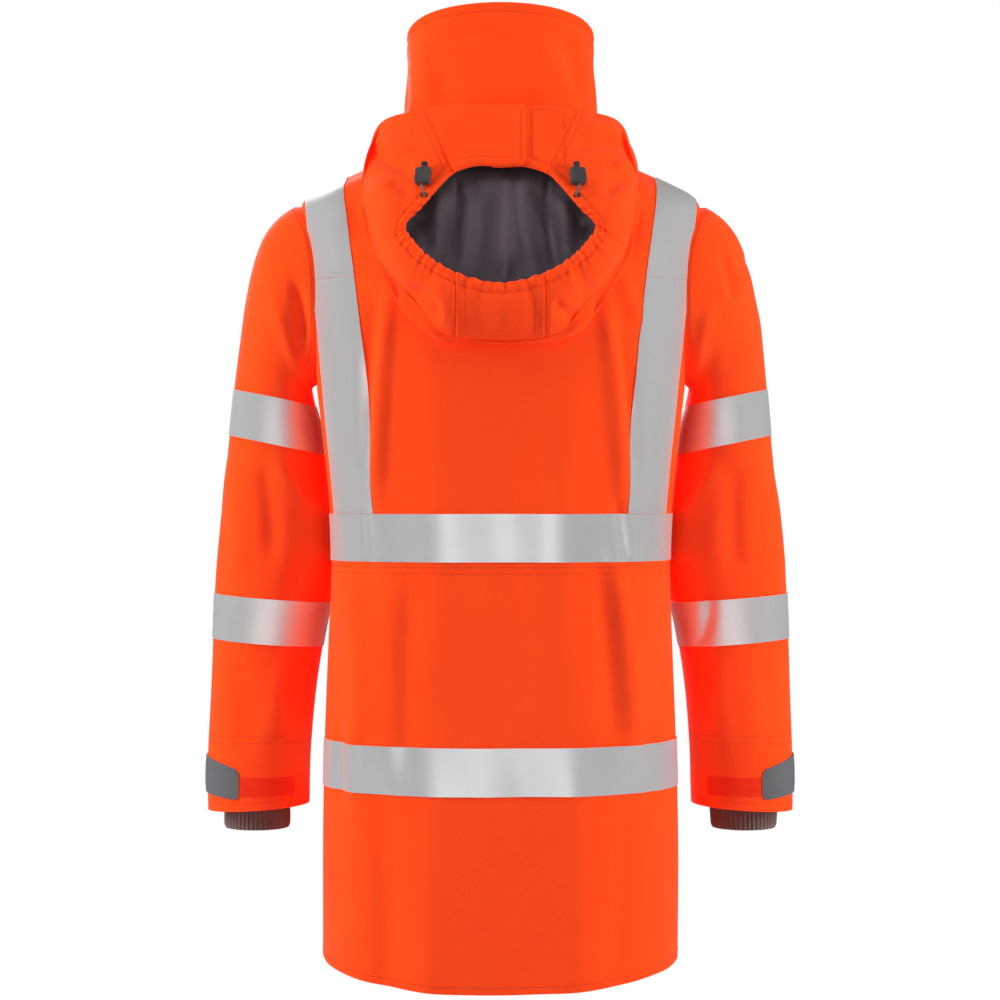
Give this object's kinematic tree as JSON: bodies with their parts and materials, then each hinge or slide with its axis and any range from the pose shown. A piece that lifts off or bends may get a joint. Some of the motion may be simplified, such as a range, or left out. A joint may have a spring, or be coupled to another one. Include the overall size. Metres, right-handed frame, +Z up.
{
  "type": "hi-vis work jacket",
  "caption": "Long high-visibility waterproof work coat with a tall stand collar, a hood thrown back, reflective tape round body and arms, and a storm flap.",
  "frame": {"origin": "midway between the wearer's shoulders, at the height of the shoulder seams' outer ends, where the wearer carries the coat", "axes": "+Z up, the front faces -Y, the back and hood face +Y, the wearer's left is +X"},
  "size_m": [0.6592, 0.3434, 1.04],
  "materials": {
    "shell": "fluorescent orange coated polyester, satin",
    "tape": "silver retroreflective tape, satin",
    "lining": "dark grey taffeta, sheeny",
    "cuff_knit": "grey storm cuff, matt",
    "cuff_loop": "orange loop tape, matt",
    "cuff_tab": "grey moulded tab, matt",
    "cord_lock": "smoky translucent plastic",
    "cord": "grey braided cord",
    "eyelet": "dark lacquered brass eyelet"
  },
  "bodies": {
    "root": {"back": "shell", "front_left": "shell", "front_right": "shell", "collar": "shell", "storm_flap": "shell", "sleeve_left": "shell", "sleeve_right": "shell", "hood_side_left": "shell", "hood_side_right": "shell", "hood_brim_left": "shell", "hood_brim_centre": "shell", "hood_brim_right": "shell", "hood_chin_flap": "shell", "hood_chin_right": "shell", "hood_crown": "shell", "hood_neck_left": "shell", "hood_neck_right": "shell", "waist_band": "tape", "waist_band_flap": "tape", "lower_band": "tape", "lower_band_flap": "tape", "brace_shoulder_left": "tape", "brace_back_left": "tape", "brace_front_left": "tape", "brace_shoulder_right": "tape", "brace_back_right": "tape", "brace_front_right": "tape", "upper_arm_band_left": "tape", "forearm_band_left": "tape", "upper_arm_band_right": "tape", "forearm_band_right": "tape", "hood_lining": "lining", "inner_cuff_left": "cuff_knit", "inner_cuff_right": "cuff_knit", "cuff_strip_left": "cuff_loop", "cuff_strip_right": "cuff_loop", "cuff_tab_left": "cuff_tab", "cuff_tab_right": "cuff_tab", "cord_lock_left": "cord_lock", "cord_lock_right": "cord_lock", "cord_plunger_left": "cord_lock", "cord_plunger_right": "cord_lock", "cord_left": "cord", "cord_right": "cord", "cord_eyelet_left": "eyelet", "cord_eyelet_right": "eyelet"}
  },
  "joints": []
}
